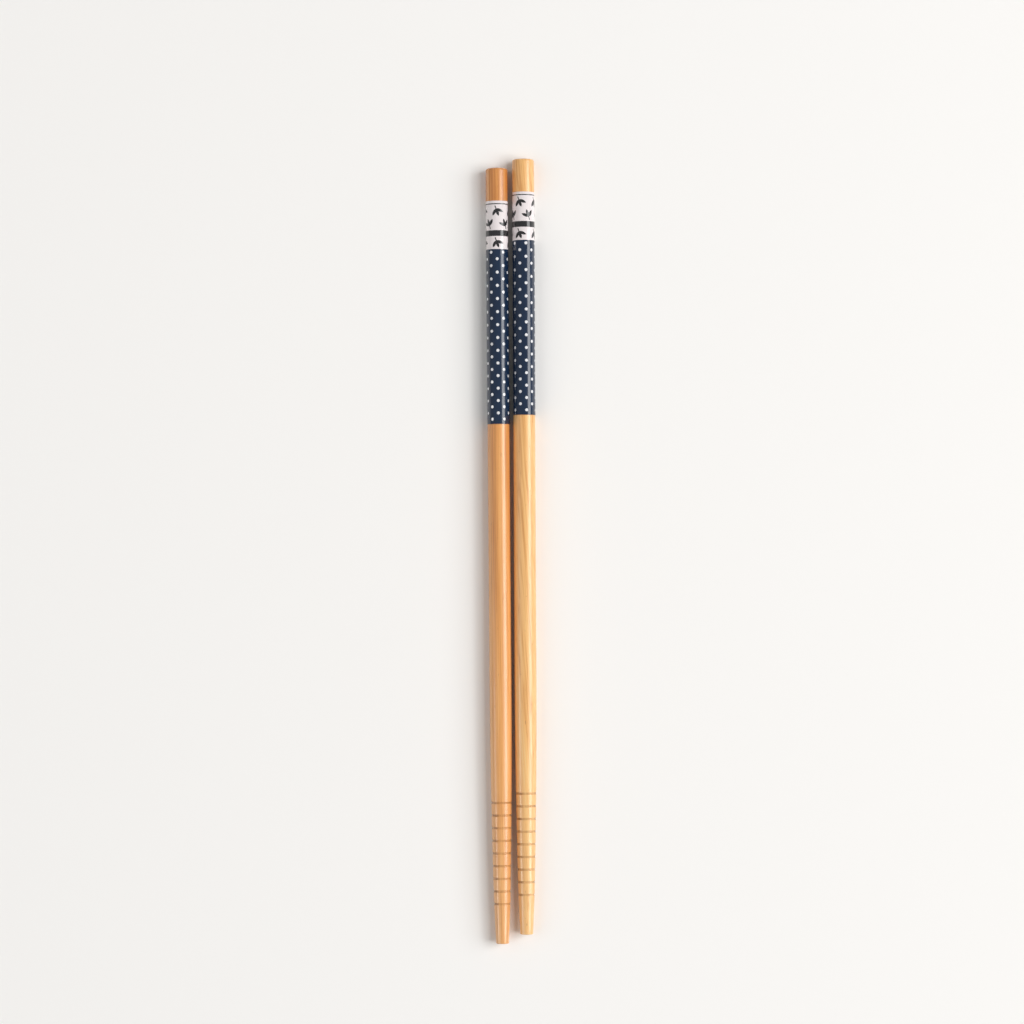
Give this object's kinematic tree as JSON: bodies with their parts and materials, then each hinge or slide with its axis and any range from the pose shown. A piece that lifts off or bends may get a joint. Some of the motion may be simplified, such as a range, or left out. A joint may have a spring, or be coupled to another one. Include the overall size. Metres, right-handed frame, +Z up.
{
  "type": "pair of wooden chopsticks",
  "caption": "Pair of round tapered wooden chopsticks with grip grooves near the tips and a printed film wrap near the butt ends.",
  "frame": {"origin": "bottom centre of the pair's bounding box, on the surface it lies on", "axes": "+Y towards the butt ends, +Z up, +X to the right with the tips towards the viewer"},
  "size_m": [0.0158, 0.2428, 0.0069],
  "materials": {
    "wood": "clear satin lacquer over straight bamboo grain",
    "white_film": "glossy white film",
    "navy_ink": "glossy navy print with round openings",
    "black_ink": "glossy black print"
  },
  "bodies": {
    "root": {"left_stick": "wood", "right_stick": "wood", "left_film": "white_film", "right_film": "white_film", "left_navy_print": "navy_ink", "right_navy_print": "navy_ink", "left_leaf_print": "black_ink", "right_leaf_print": "black_ink"}
  },
  "joints": []
}
